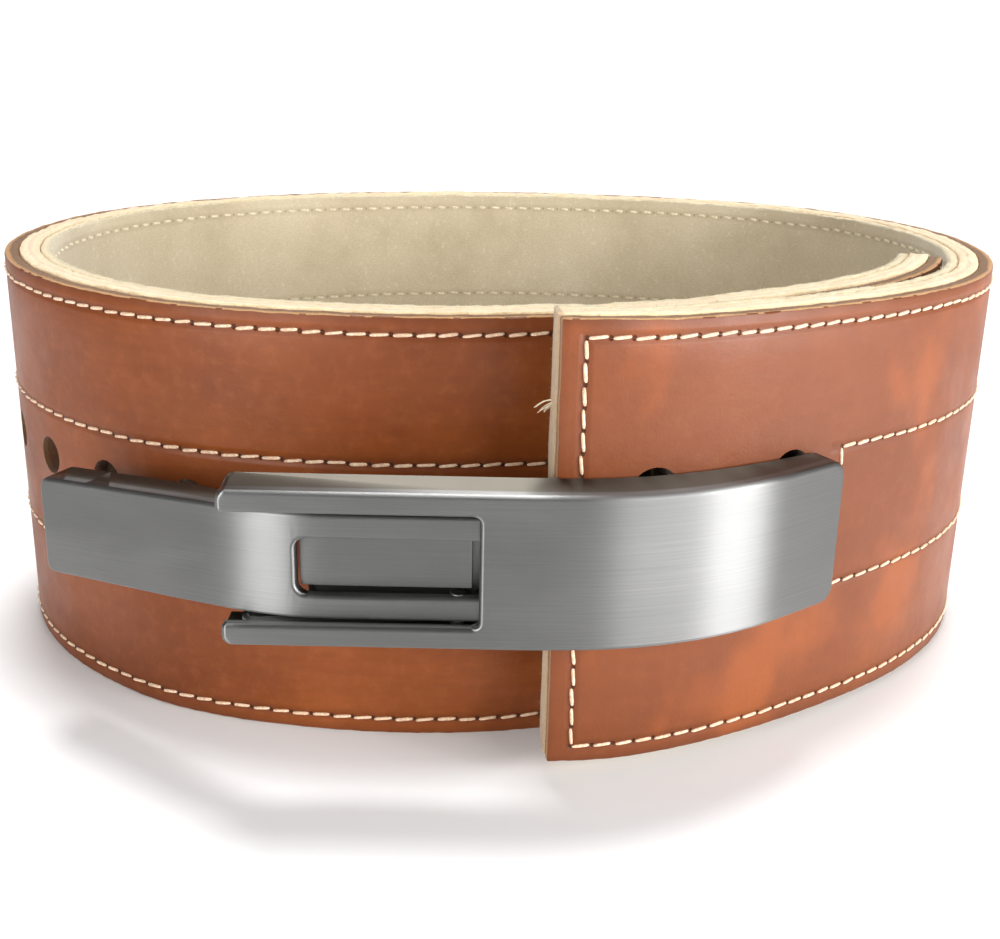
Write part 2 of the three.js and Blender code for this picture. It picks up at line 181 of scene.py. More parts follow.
def loopPoint(degrees):
    share = rawLoopPoint(degrees) - (rawLow + rawHigh) / 2
    x = share.x * strap["loopWidth"] / (rawHigh.x - rawLow.x)
    y = share.y * strap["loopDepth"] / (rawHigh.y - rawLow.y)
    return loopMiddle + Vector((x, y))


def outerFacePoint(degrees):
    along = (loopPoint(degrees + 0.25) - loopPoint(degrees - 0.25)).normalized()
    outward = Vector((along.y, -along.x))
    mouthDegrees = strap["outerEnd"] + 360
    share = min(1.0, max(0.0, (degrees - mouthDegrees) / (strap["innerEnd"] - mouthDegrees)))
    gap = strap["mouthGap"] + (strap["innerGap"] - strap["mouthGap"]) * share
    depth = smoothStep(degrees, strap["tuckStart"], strap["tuckFull"]) * (strapThickness + gap)
    return loopPoint(degrees) - depth * outward


turnStep = (strap["innerEnd"] - strap["outerEnd"]) / strap["steps"]
pathPoints = [outerFacePoint(strap["outerEnd"] + i * turnStep) for i in range(strap["steps"] + 1)]
pathLengths = [0.0]
for before, after in zip(pathPoints, pathPoints[1:]):
    pathLengths.append(pathLengths[-1] + (after - before).length)
pathTotal = pathLengths[-1]
mouth = pathPoints[0]
strapCurve = makeCurve("strap_path", pathPoints)


def pathAt(length):
    i = 1
    while i < len(pathPoints) - 1 and pathLengths[i] < length:
        i += 1
    share = (length - pathLengths[i - 1]) / (pathLengths[i] - pathLengths[i - 1])
    point = pathPoints[i - 1].lerp(pathPoints[i], share)
    along = (pathPoints[min(len(pathPoints) - 1, i + 2)] - pathPoints[max(0, i - 3)]).normalized()
    return point, Vector((along.y, -along.x))


def liftAt(length):
    return strap["lift"] * max(0.0, 1 - length / strap["liftLength"])


def liftAndBend(obj):
    for vertex in obj.data.vertices:
        vertex.co.z += liftAt(vertex.co.x)
    bendAlong(obj, strapCurve)


# The inner run's place nearest the mouth, from which the adjustment holes are counted
mouthOnInner = outerFacePoint(strap["outerEnd"] + 360)
late = [i for i in range(len(pathPoints)) if pathLengths[i] > pathTotal / 2]
nearest = min(late, key=lambda i: (pathPoints[i] - mouthOnInner).length)

holes = {
    "diameter": 0.0095,
    "pitch": 0.0254,
    "height": 0.056,
    "towardsBack": 3,
    "towardsEnd": 8,
    "claw": pathLengths[nearest] - 0.0824,
    "screwDiameter": 0.0125,
    "screwRise": 0.0125,
    "screwLengths": (0.022, 0.059),
    "sides": 36,
}


def holePlaces():
    places = []
    for i in range(-holes["towardsBack"], holes["towardsEnd"] + 1):
        places.append((holes["claw"] + i * holes["pitch"], holes["height"], holes["diameter"]))
    for length in holes["screwLengths"]:
        for side in (-1, 1):
            height = strap["width"] / 2 + side * holes["screwRise"]
            places.append((length, height, holes["screwDiameter"]))
    return places


def holeTool():
    bm = bmesh.new()
    throughStrap = Matrix.Rotation(math.pi / 2, 4, "X")
    for length, height, diameter in holePlaces():
        place = Matrix.Translation((length, strapThickness / 2, height)) @ throughStrap
        bmesh.ops.create_cone(
            bm, cap_ends=True, segments=holes["sides"], radius1=diameter / 2, radius2=diameter / 2,
            depth=4 * strapThickness, matrix=place)
    return fromBmesh("hole_tool", bm)


# Plies

ply = {
    "alongStep": 0.0016,
    "acrossCuts": 9,
    "bevelSegments": 2,
    "roughReach": 0.0012,
    "roughScale": (380, 900, 380),
    "wideScale": 0.13,
    "fineShare": 0.7,
    "wideShare": 0.6,
}


def stretchCube(bm, low, high):
    bmesh.ops.create_cube(bm, size=1)
    size = Vector(high) - Vector(low)
    bmesh.ops.scale(bm, vec=size, verts=bm.verts)
    bmesh.ops.translate(bm, vec=(Vector(low) + Vector(high)) / 2, verts=bm.verts)


def edgesAlong(bm, axis, shortest):
    chosen = []
    for edge in bm.edges:
        span = edge.verts[1].co - edge.verts[0].co
        if span.length > shortest and abs(span[axis]) > 0.99 * span.length:
            chosen.append(edge)
    return chosen


def makePly(name, near, far, bevel, depthCuts, rough, shrink):
    bm = bmesh.new()
    stretchCube(bm, (shrink, near, shrink), (pathTotal - shrink, far, strap["width"] - shrink))
    bmesh.ops.bevel(
        bm, geom=list(bm.edges), offset=bevel, segments=ply["bevelSegments"], profile=0.5, affect="EDGES")
    bmesh.ops.subdivide_edges(bm, edges=edgesAlong(bm, 2, 0.05), cuts=ply["acrossCuts"], use_grid_fill=True)
    bmesh.ops.subdivide_edges(bm, edges=edgesAlong(bm, 1, 0.001), cuts=depthCuts, use_grid_fill=True)
    alongCuts = int(pathTotal / ply["alongStep"])
    bmesh.ops.subdivide_edges(bm, edges=edgesAlong(bm, 0, 0.1), cuts=alongCuts, use_grid_fill=True)
    for vertex in bm.verts:
        x, y, z = vertex.co
        fromRim = min(z, strap["width"] - z)
        fromEnd = min(x, pathTotal - x)
        way = Vector((0, 0, 0))
        if fromRim < ply["roughReach"]:
            way.z = 1.0 if z > strap["width"] / 2 else -1.0
        if fromEnd < ply["roughReach"]:
            way.x = 1.0 if x > pathTotal / 2 else -1.0
        if way.length > 0:
            place = Vector([value * scale for value, scale in zip((x, y, z), ply["roughScale"])])
            wide = noise.noise(place * ply["wideScale"] + Vector((0, 3.7, 0)))
            fine = noise.noise(place)
            vertex.co += way * rough * (ply["fineShare"] * fine + ply["wideShare"] * wide)
    obj = fromBmesh(name, bm)
    boolean(obj, holeTool())
    flatMaps(obj)
    return obj


def finishStrapPiece(obj, materials, isFace, node):
    for material in materials:
        obj.data.materials.append(material)
    for polygon in obj.data.polygons:
        polygon.material_index = 0 if isFace(polygon) else 1
    liftAndBend(obj)
    shadeSmooth(obj, 38)
    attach(obj, "belt")
    if node:
        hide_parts(node)


# Material helpers


def newMaterial(name):
    material = bpy.data.materials.new(name)
    material.use_nodes = True
    tree = material.node_tree
    return material, tree, tree.nodes["Principled BSDF"]


def colour(red, green, blue):
    def toLinear(value):
        value /= 255
        return value / 12.92 if value <= 0.04045 else ((value + 0.055) / 1.055) ** 2.4
    return (toLinear(red), toLinear(green), toLinear(blue), 1.0)


def plug(tree, socket, value):
    if isinstance(value, bpy.types.NodeSocket):
        tree.links.new(value, socket)
    else:
        socket.default_value = value


def math2(tree, operation, *values):
    node = tree.nodes.new("ShaderNodeMath")
    node.operation = operation
    for socket, value in zip(node.inputs, values):
        plug(tree, socket, value)
    return node.outputs[0]


def fade(tree, value, low, high, atLow=1.0, atHigh=0.0):
    node = tree.nodes.new("ShaderNodeMapRange")
    node.interpolation_type = "SMOOTHSTEP"
    plug(tree, node.inputs["Value"], value)
    node.inputs["From Min"].default_value = low
    node.inputs["From Max"].default_value = high
    node.inputs["To Min"].default_value = atLow
    node.inputs["To Max"].default_value = atHigh
    return node.outputs["Result"]


# The Mix node has several sockets of one name, so its colour sockets are found by their kind
def mixColours(tree, share, first, second):
    node = tree.nodes.new("ShaderNodeMix")
    node.data_type = "RGBA"
    plug(tree, node.inputs[0], share)
    plug(tree, node.inputs[6], first)
    plug(tree, node.inputs[7], second)
    return node.outputs[2]


# Lays a shade over the base colour, by a share between 0 and 1 times an amount
def tinted(tree, base, share, amount, shade):
    return mixColours(tree, math2(tree, "MULTIPLY", share, amount), base, shade)


def stretched(tree, vector, scale):
    node = tree.nodes.new("ShaderNodeVectorMath")
    node.operation = "MULTIPLY"
    tree.links.new(vector, node.inputs[0])
    node.inputs[1].default_value = scale
    return node.outputs[0]


def noiseValue(tree, vector, scale, detail=3.0, roughness=0.55):
    node = tree.nodes.new("ShaderNodeTexNoise")
    tree.links.new(vector, node.inputs["Vector"])
    node.inputs["Scale"].default_value = scale
    node.inputs["Detail"].default_value = detail
    node.inputs["Roughness"].default_value = roughness
    return node.outputs["Fac"]


def cells(tree, vector, scale):
    node = tree.nodes.new("ShaderNodeTexVoronoi")
    tree.links.new(vector, node.inputs["Vector"])
    node.inputs["Scale"].default_value = scale
    return node.outputs["Distance"]


def ramp(tree, value, stops):
    node = tree.nodes.new("ShaderNodeValToRGB")
    tree.links.new(value, node.inputs["Fac"])
    elements = node.color_ramp.elements
    while len(elements) < len(stops):
        elements.new(0.5)
    for element, (position, shade) in zip(elements, stops):
        element.position = position
        element.color = shade
    return node.outputs["Color"]


def bumpAll(tree, shader, layers):
    previous = None
    for height, strength, distance in layers:
        node = tree.nodes.new("ShaderNodeBump")
        node.inputs["Strength"].default_value = strength
        node.inputs["Distance"].default_value = distance
        tree.links.new(height, node.inputs["Height"])
        if previous:
            tree.links.new(previous, node.inputs["Normal"])
        previous = node.outputs["Normal"]
    tree.links.new(previous, shader.inputs["Normal"])


# A place on a flat piece as one vector, and its length, depth and height, from the two maps
def strapPlace(tree):
    parts = []
    for name in ("flat", "edge"):
        uv = tree.nodes.new("ShaderNodeUVMap")
        uv.uv_map = name
        separate = tree.nodes.new("ShaderNodeSeparateXYZ")
        tree.links.new(uv.outputs["UV"], separate.inputs[0])
        parts.append(separate)
    length = parts[0].outputs[0]
    height = parts[0].outputs[1]
    depth = parts[1].outputs[1]
    combine = tree.nodes.new("ShaderNodeCombineXYZ")
    for socket, value in zip(combine.inputs, (length, depth, height)):
        tree.links.new(value, socket)
    return combine.outputs[0], length, depth, height


# Stitching

stitching = {
    "rows": (0.0040, 0.0335, 0.0680, 0.0978),
    "middleStart": 0.072,
    "endColumn": 0.0052,
    "pitch": 0.0050,
    "length": {"outside": 0.0043, "inside": 0.0027},
    "width": 0.00078,
    "proud": 0.00042,
    "slant": -5.0,
}


# How far a place is from the nearest seam, and from the nearest needle hole
def seamFields(tree, length, height):
    pitch = stitching["pitch"]
    bottom, lowMiddle, highMiddle, top = stitching["rows"]

    def away(value, place):
        return math2(tree, "ABSOLUTE", math2(tree, "SUBTRACT", value, place))

    def needleAway(across, along, start, spacing):
        beat = math2(tree, "FRACT", math2(tree, "DIVIDE", math2(tree, "SUBTRACT", along, start), spacing))
        near = math2(tree, "MINIMUM", beat, math2(tree, "SUBTRACT", 1.0, beat))
        near = math2(tree, "MULTIPLY", near, spacing)
        squares = math2(tree, "ADD", math2(tree, "POWER", across, 2.0), math2(tree, "POWER", near, 2.0))
        return math2(tree, "SQRT", squares)

    beforeStart = fade(tree, length, stitching["endColumn"] - 0.0009, stitching["endColumn"] - 0.0008)
    beforeMiddle = fade(tree, length, stitching["middleStart"] - 0.0006, stitching["middleStart"] - 0.0005)
    outerRows = math2(tree, "MINIMUM", away(height, bottom), away(height, top))
    middleRows = math2(tree, "MINIMUM", away(height, lowMiddle), away(height, highMiddle))
    rowAway = math2(tree, "ADD", outerRows, beforeStart)
    rowAway = math2(tree, "MINIMUM", rowAway, math2(tree, "ADD", middleRows, beforeMiddle))
    holeAway = needleAway(rowAway, length, stitching["endColumn"], pitch)
    beyondRows = math2(tree, "SUBTRACT", away(height, (bottom + top) / 2), (top - bottom) / 2)
    beyondRows = fade(tree, beyondRows, 0.0008, 0.0009, 0.0, 1.0)
    columnAway = math2(tree, "ADD", away(length, stitching["endColumn"]), beyondRows)
    columnPitch = (top - bottom) / round((top - bottom) / pitch)
    columnHoles = needleAway(columnAway, height, bottom, columnPitch)
    seamAway = math2(tree, "MINIMUM", rowAway, columnAway)
    return seamAway, math2(tree, "MINIMUM", holeAway, columnHoles)


def leatherMaterial():
    material, tree, shader = newMaterial("tan_grain_leather")
    vector, length, depth, height = strapPlace(tree)
    seamAway, needleAway = seamFields(tree, length, height)
    blotch = noiseValue(tree, stretched(tree, vector, (1.0, 1.0, 1.6)), 16, 4, 0.6)
    base = ramp(tree, blotch, [
        (0.28, colour(102, 48, 15)),
        (0.46, colour(116, 57, 19)),
        (0.60, colour(126, 64, 24)),
        (0.76, colour(138, 74, 33)),
    ])
    streak = noiseValue(tree, stretched(tree, vector, (8.0, 1.0, 60.0)), 9, 4, 0.6)
    base = tinted(tree, base, fade(tree, streak, 0.4, 0.7, 0.0, 1.0), 0.18, colour(90, 42, 17))
    mottle = noiseValue(tree, vector, 260, 5, 0.65)
    base = tinted(tree, base, fade(tree, mottle, 0.45, 0.75, 0.0, 1.0), 0.20, colour(158, 92, 52))
    outerRun = fade(tree, length, 0.05, 0.35, 1.0, 0.0)
    base = tinted(tree, base, outerRun, 0.55, colour(104, 57, 35))
    warm = noiseValue(tree, stretched(tree, vector, (1.0, 1.0, 0.7)), 31, 3, 0.5)
    warm = math2(tree, "MULTIPLY", fade(tree, warm, 0.50, 0.68, 0.0, 0.4), outerRun)
    base = mixColours(tree, warm, base, colour(158, 84, 38))
    rim = math2(tree, "MINIMUM", height, math2(tree, "SUBTRACT", strap["width"], height))
    base = tinted(tree, base, fade(tree, rim, 0.0, 0.0022), 0.45, colour(84, 42, 18))
    seam = fade(tree, seamAway, 0.0004, 0.0016)
    base = tinted(tree, base, seam, 0.28, colour(78, 38, 17))
    # Painted shade: the needle holes get a dark brown spot of colour, standing in for the shade inside each
    # hole
    needle = fade(tree, needleAway, 0.00025, 0.00060)
    base = mixColours(tree, needle, base, colour(62, 28, 13))
    tree.links.new(base, shader.inputs["Base Color"])
    rough = fade(tree, noiseValue(tree, vector, 42, 4), 0.3, 0.7, 0.38, 0.52)
    tree.links.new(rough, shader.inputs["Roughness"])
    shader.inputs["Specular IOR Level"].default_value = 0.25
    pores = cells(tree, vector, 1500)
    wrinkle = noiseValue(tree, vector, 620, 4, 0.6)
    pull = noiseValue(tree, vector, 60, 3, 0.5)
    bumpAll(tree, shader, [
        (pull, 0.25, 0.0012),
        (wrinkle, 0.16, 0.0003),
        (pores, 0.10, 0.0002),
        (fade(tree, seamAway, 0.0003, 0.0018, 0.0, 1.0), 0.5, 0.0005),
        (fade(tree, needleAway, 0.0002, 0.0007, 0.0, 1.0), 0.8, 0.0006),
    ])
    return material


def edgeMaterial(name, stops, fibre, sheen, darkFibre):
    material, tree, shader = newMaterial(name)
    vector, length, depth, height = strapPlace(tree)
    wander = math2(tree, "MULTIPLY", math2(tree, "SUBTRACT", noiseValue(tree, vector, 110, 3), 0.5), 0.0011)
    place = math2(tree, "DIVIDE", math2(tree, "ADD", depth, wander), strapThickness)
    base = ramp(tree, place, stops)
    strands = noiseValue(tree, stretched(tree, vector, (1.0, 3.0, 1.0)), fibre, 6, 0.7)
    base = mixColours(tree, fade(tree, strands, 0.32, 0.60, darkFibre, 0.0), base, colour(150, 108, 66))
    bright = noiseValue(tree, stretched(tree, vector, (1.0, 4.0, 1.0)), fibre * 1.7, 5, 0.7)
    base = mixColours(tree, fade(tree, bright, 0.5, 0.75, 0.0, 0.45), base, colour(252, 238, 214))
    # Painted shade: the walls of the punched holes are tinted dark brown, standing in for the shade inside
    # the holes
    away = math2(tree, "ABSOLUTE", math2(tree, "SUBTRACT", height, holes["height"] - 0.003))
    holeWallShade = fade(tree, away, 0.019, 0.021)
    holeWallShade = math2(tree, "MULTIPLY", holeWallShade, fade(tree, length, 0.010, 0.011, 0.0, 0.8))
    holeWallShade = math2(tree, "MULTIPLY", holeWallShade, fade(tree, length, pathTotal - 0.006, pathTotal - 0.005))
    base = mixColours(tree, holeWallShade, base, colour(84, 48, 24))
    base = mixColours(tree, fade(tree, length, 0.0004, 0.0012, 0.5, 0.0), base, colour(142, 96, 52))
    tree.links.new(base, shader.inputs["Base Color"])
    shader.inputs["Roughness"].default_value = 0.92
    shader.inputs["Specular IOR Level"].default_value = 0.15
    shader.inputs["Sheen Weight"].default_value = sheen
    shader.inputs["Sheen Roughness"].default_value = 0.6
    bumpAll(tree, shader, [
        (strands, 0.7, 0.0009),
        (noiseValue(tree, vector, 2600, 3, 0.7), 0.5, 0.0004),
    ])
    return material


def suedeMaterial():
    material, tree, shader = newMaterial("olive_beige_suede")
    vector, length, depth, height = strapPlace(tree)
    seamAway, needleAway = seamFields(tree, length, height)
    cloud = noiseValue(tree, vector, 24, 5, 0.6)
    base = ramp(tree, cloud, [
        (0.30, colour(176, 162, 135)),
        (0.50, colour(193, 179, 152)),
        (0.72, colour(206, 193, 168)),
    ])
    nap = noiseValue(tree, stretched(tree, vector, (0.6, 1.0, 1.3)), 1500, 5, 0.7)
    base = mixColours(tree, fade(tree, nap, 0.35, 0.7, 0.30, 0.0), base, colour(150, 134, 104))
    flecks = noiseValue(tree, vector, 520, 4, 0.7)
    base = mixColours(tree, fade(tree, flecks, 0.55, 0.78, 0.0, 0.35), base, colour(232, 220, 196))
    seam = fade(tree, seamAway, 0.0005, 0.0016)
    base = tinted(tree, base, seam, 0.25, colour(160, 144, 114))
    # Painted shade: the needle holes are darkened in colour, standing in for the shade inside each hole
    base = mixColours(tree, fade(tree, needleAway, 0.0002, 0.0006, 0.5, 0.0), base, colour(120, 104, 78))
    tree.links.new(base, shader.inputs["Base Color"])
    shader.inputs["Roughness"].default_value = 0.95
    shader.inputs["Specular IOR Level"].default_value = 0.12
    shader.inputs["Sheen Weight"].default_value = 0.35
    shader.inputs["Sheen Roughness"].default_value = 0.55
    bumpAll(tree, shader, [
        (cloud, 0.2, 0.001),
        (nap, 0.5, 0.0005),
        (fade(tree, seamAway, 0.0004, 0.0018, 0.0, 1.0), 0.5, 0.0005),
    ])
    return material


def threadMaterial(name, dark, middle, light):
    material, tree, shader = newMaterial(name)
    place = tree.nodes.new("ShaderNodeTexCoord").outputs["Object"]
    twist = noiseValue(tree, place, 1400, 4, 0.65)
    base = ramp(tree, twist, [(0.35, dark), (0.55, middle), (0.7, light)])
    tree.links.new(base, shader.inputs["Base Color"])
    shader.inputs["Roughness"].default_value = 0.62
    shader.inputs["Sheen Weight"].default_value = 0.2
    bumpAll(tree, shader, [(twist, 0.6, 0.0003)])
    return material


def steelMaterial(name, dark, light, roughLow, roughHigh, mapName=None):
    material, tree, shader = newMaterial(name)
    if mapName:
        uv = tree.nodes.new("ShaderNodeUVMap")
        uv.uv_map = mapName
        place = uv.outputs["UV"]
        lines = stretched(tree, place, (14.0, 1500.0, 1.0))
        tangent = tree.nodes.new("ShaderNodeTangent")
        tangent.direction_type = "UV_MAP"
        tangent.uv_map = mapName
        tree.links.new(tangent.outputs["Tangent"], shader.inputs["Tangent"])
        shader.inputs["Anisotropic"].default_value = 0.95
        shader.inputs["Anisotropic Rotation"].default_value = 0.25
    else:
        place = tree.nodes.new("ShaderNodeTexCoord").outputs["Object"]
        lines = stretched(tree, place, (14.0, 500.0, 1500.0))
    brush = noiseValue(tree, lines, 2.0, 5, 0.7)
    broad = noiseValue(tree, stretched(tree, place, (1.0, 3.0, 3.0)), 18, 4, 0.6)
    base = mixColours(tree, fade(tree, brush, 0.3, 0.7, 0.0, 1.0), dark, light)
    base = mixColours(tree, fade(tree, broad, 0.4, 0.7, 0.25, 0.0), base, dark)
    if mapName:
        # Painted shade and reflection: the flanges, further back than the front sheet, are tinted dark
        # olive grey, standing in for their dimmer, olive-tinted reflection
        depth = strapPlace(tree)[2]
        base = mixColours(tree, fade(tree, depth, 0.0022, 0.0034, 0.0, 0.75), base, colour(88, 83, 71))
    tree.links.new(base, shader.inputs["Base Color"])
    shader.inputs["Metallic"].default_value = 1.0
    rough = fade(tree, brush, 0.3, 0.7, roughLow, roughHigh)
    rough = math2(tree, "ADD", rough, fade(tree, broad, 0.35, 0.7, 0.06, 0.0))
    tree.links.new(rough, shader.inputs["Roughness"])
    bumpAll(tree, shader, [(brush, 0.05, 0.00005), (broad, 0.03, 0.0006)])
    return material


grainFace = leatherMaterial()
grainEdge = edgeMaterial("grain_cut_edge", [
    (0.00, colour(140, 84, 42)),
    (0.03, colour(190, 142, 84)),
    (0.09, colour(178, 126, 70)),
    (0.13, colour(104, 66, 28)),
    (0.25, colour(126, 84, 40)),
], 700, 0.2, 0.35)
coreEdge = edgeMaterial("core_cut_edge", [
    (0.31, colour(240, 212, 166)),
    (0.44, colour(252, 232, 196)),
    (0.52, colour(242, 208, 172)),
    (0.60, colour(252, 230, 192)),
    (0.73, colour(240, 214, 172)),
], 760, 0.3, 0.28)
suedeEdge = edgeMaterial("suede_cut_edge", [
    (0.74, colour(226, 204, 160)),
    (0.84, colour(244, 226, 188)),
    (0.98, colour(204, 194, 160)),
], 900, 0.3, 0.28)
suedeFace = suedeMaterial()
thread = threadMaterial(
    "cream_thread", colour(196, 158, 126), colour(228, 196, 164), colour(244, 220, 194))
paleThread = threadMaterial(
    "pale_thread", colour(196, 182, 152), colour(222, 208, 180), colour(236, 226, 202))
print("materials ready")

coreNear = strap["grain"] + strap["glue"]
suedeNear = coreNear + strap["core"] + strap["glue"]
grainPly = makePly("belt_grain_leather", 0.0, strap["grain"], 0.0005, 2, 0.00025, 0.0)
finishStrapPiece(
    grainPly, [grainFace, grainEdge],
    lambda polygon: polygon.normal.y < -0.45 and polygon.center.y < 0.0008, "grain_ply")
corePly = makePly("belt_split_core", coreNear, coreNear + strap["core"], 0.0004, 3, 0.0006, -0.0004)
finishStrapPiece(corePly, [coreEdge, coreEdge], lambda polygon: True, "core_ply")
suedePly = makePly("belt_suede_lining", suedeNear, strapThickness, 0.0005, 2, 0.0005, -0.0002)
finishStrapPiece(
    suedePly, [suedeFace, suedeEdge],
    lambda polygon: polygon.normal.y > 0.45 and polygon.center.y > strapThickness - 0.0008,
    "suede_lining")
print("plies ready")


# Stitches: each one a small stretched ball, half sunk in the leather


def stitchPlaces():
    places = []
    pitch = stitching["pitch"]
    bottom, lowMiddle, highMiddle, top = stitching["rows"]
    starts = {bottom: 0, top: 0, lowMiddle: 14, highMiddle: 14}
    for row, first in starts.items():
        i = first
        while stitching["endColumn"] + (i + 1) * pitch < pathTotal - 0.003:
            places.append((stitching["endColumn"] + (i + 0.5) * pitch, row, 0))
            i += 1
    columns = [(stitching["endColumn"], bottom, top), (pathTotal - stitching["endColumn"], bottom, top)]
    columns.append((stitching["middleStart"] + 0.0032, lowMiddle, highMiddle))
    for length, low, high in columns:
        count = round((high - low) / pitch)
        for i in range(count):
            places.append((length, low + (i + 0.5) * (high - low) / count, 1))
    return places


def makeStitches(name, depth, side, material):
    ball = bmesh.new()
    bmesh.ops.create_uvsphere(ball, u_segments=8, v_segments=6, radius=0.5)
    ballVertices = [vertex.co.copy() for vertex in ball.verts]
    ballFaces = [[vertex.index for vertex in face.verts] for face in ball.faces]
    ball.free()
    vertices = []
    faces = []
    for length, height, upright in stitchPlaces():
        size = Vector((
            stitching["length"][side] * random.uniform(0.93, 1.05),
            2 * stitching["proud"],
            stitching["width"] * random.uniform(0.9, 1.1)))
        turn = math.radians(stitching["slant"] + random.uniform(-2.5, 2.5) + 90 * upright)
        rotation = Euler((0, turn, 0)).to_matrix()
        middle = Vector((
            length + random.uniform(-0.00012, 0.00012), depth, height + random.uniform(-0.00015, 0.00015)))
        start = len(vertices)
        for corner in ballVertices:
            tall = Vector((corner.z, corner.y, corner.x))
            fullness = 1 + 3.2 * tall.x * tall.x
            local = Vector((tall.x * size.x, tall.y * size.y * fullness, tall.z * size.z * fullness))
            vertices.append(middle + rotation @ local)
        faces.extend([[start + index for index in face] for face in ballFaces])
    mesh = bpy.data.meshes.new(name)
    mesh.from_pydata(vertices, [], faces)
    obj = meshObject(name, mesh)
    obj.data.materials.append(material)
    liftAndBend(obj)
    makeActive(obj)
    bpy.ops.object.mode_set(mode="EDIT")
    bpy.ops.mesh.select_all(action="SELECT")
    bpy.ops.mesh.normals_make_consistent(inside=False)
    bpy.ops.object.mode_set(mode="OBJECT")
    shadeSmooth(obj, 80)
    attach(obj, "belt")
    return obj


makeStitches("stitching_outside", -0.00005, "outside", thread)
makeStitches("stitching_inside", strapThickness - 0.00005, "inside", paleThread)
print("stitches ready")

# Loose thread end beside the strap's mouth

looseThread = {
    "height": 0.0868,
    "depth": 0.0080,
    "length": 0.0056,
    "drop": 0.0024,
    "spread": 0.0012,
    "radius": 0.00020,
    "strands": 6,
    "points": 9,
}


def makeLooseThread():
    data = bpy.data.curves.new("loose_thread", "CURVE")
    data.dimensions = "3D"
    data.bevel_depth = looseThread["radius"]
    data.bevel_resolution = 2
    data.use_fill_caps = True
    last = looseThread["points"] - 1
    for _ in range(looseThread["strands"]):
        spline = data.splines.new("POLY")
        spline.points.add(last)
        reach = looseThread["length"] * random.uniform(0.5, 1.0)
        rise, sway = (looseThread["spread"] * random.uniform(-1, 1) for _ in range(2))
        for i in range(last + 1):
            share = i / last
            place = (
                mouth.x + 0.0006 - reach * share,
                mouth.y + looseThread["depth"] + sway * share,
                looseThread["height"] - looseThread["drop"] * share ** 1.6 + rise * math.sin(2.2 * share))
            spline.points[i].co = (*place, 1)
            spline.points[i].radius = 1.1 - 0.7 * share
    obj = bpy.data.objects.new("loose_thread", data)
    bpy.context.collection.objects.link(obj)
    makeActive(obj)
    bpy.ops.object.convert(target="MESH")
    obj.data.materials.append(paleThread)
    shadeSmooth(obj, 60)
    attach(obj, "belt")


makeLooseThread()


# Loose fibres on the cut edges

fuzz = {
    "core": {"near": coreNear, "far": coreNear + strap["core"], "top": 3000, "bottom": 900, "ends": 420},
    "suede": {"near": suedeNear, "far": strapThickness, "top": 2600, "bottom": 700, "ends": 260},
    "length": (0.0005, 0.0017),
    "radius": 0.00007,
}


def fibrePlaces(row):
    places = []
    for edge, count in (("top", row["top"]), ("bottom", row["bottom"]), ("ends", row["ends"])):
        for _ in range(count):
            depth = random.uniform(row["near"], row["far"])
            if edge == "ends":
                first = random.random() < 0.7
                height = random.uniform(0, strap["width"])
                root = Vector((0.0 if first else pathTotal, depth, height))
                places.append((root, Vector((-1.0 if first else 1.0, 0, 0))))
            else:
                side = 1.0 if edge == "top" else -1.0
                height = strap["width"] if edge == "top" else 0.0
                root = Vector((random.uniform(0, pathTotal), depth, height))
                places.append((root, Vector((0, 0, side))))
    return places


def makeFuzz(name, row, material):
    vertices = []
    faces = []
    for root, way in fibrePlaces(row):
        lean = Vector((random.uniform(-1, 1), random.uniform(-0.8, 0.8), random.uniform(-1, 1)))
        direction = (way + lean * 0.9).normalized()
        length = random.uniform(*fuzz["length"])
        side = direction.orthogonal().normalized() * fuzz["radius"]
        other = direction.cross(side)
        curl = side.normalized() * length * random.uniform(-0.35, 0.35)
        root = root - way * 0.0004
        middle = root + direction * length * 0.55 + curl * 0.5
        tip = root + direction * length + curl
        start = len(vertices)
        for centre, share in ((root, 1.0), (middle, 0.75)):
            for turn in range(3):
                angle = 2 * math.pi * turn / 3
                vertices.append(centre + (side * math.cos(angle) + other * math.sin(angle)) * share)
        vertices.append(tip)
        for turn in range(3):
            following = (turn + 1) % 3
            faces.append([start + turn, start + following, start + 3 + following, start + 3 + turn])
            faces.append([start + 3 + turn, start + 3 + following, start + 6])
        faces.append([start + 2, start + 1, start])
    mesh = bpy.data.meshes.new(name)
    mesh.from_pydata(vertices, [], faces)
    obj = meshObject(name, mesh)
    obj.data.materials.append(material)
    flatMaps(obj)
    liftAndBend(obj)
    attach(obj, "belt")
    return obj


makeFuzz("core_edge_fibres", fuzz["core"], coreEdge)
makeFuzz("suede_edge_fibres", fuzz["suede"], suedeEdge)
print("fibres ready")


# Steel

brushed = steelMaterial("brushed_steel", colour(118, 118, 117), colour(130, 130, 129), 0.36, 0.41, "flat")
pinSteel = steelMaterial("pin_steel", colour(112, 110, 106), colour(140, 138, 134), 0.32, 0.44)

plates = {
    "sheet": 0.0026,
    "arcSteps": 60,
    "slice": 0.0016,
    "smallRadius": 0.00025,
    "past": 0.01,
    "deep": 0.03,
}


# The buckle's middle is the strap's, and comes down with the strap to the right of the mouth
def followStrap(obj):
    for vertex in obj.data.vertices:
        vertex.co.z += strap["width"] / 2 + liftAt(max(0.0, vertex.co.x - mouth.x))


# An arc from a straight face, which turns inwards to the right (way 1) or to the left (way -1)
def arcPoints(startX, faceY, row, way):
    radius = row["radius"]
    points = []
    for i in range(plates["arcSteps"] + 1):
        angle = math.radians(row["degrees"]) * i / plates["arcSteps"]
        x = startX + way * radius * math.sin(angle)
        points.append(Vector((x, faceY + radius - radius * math.cos(angle))))
    return points


def boxTool(name, low, high):
    bm = bmesh.new()
    stretchCube(bm, low, high)
    return fromBmesh(name, bm)


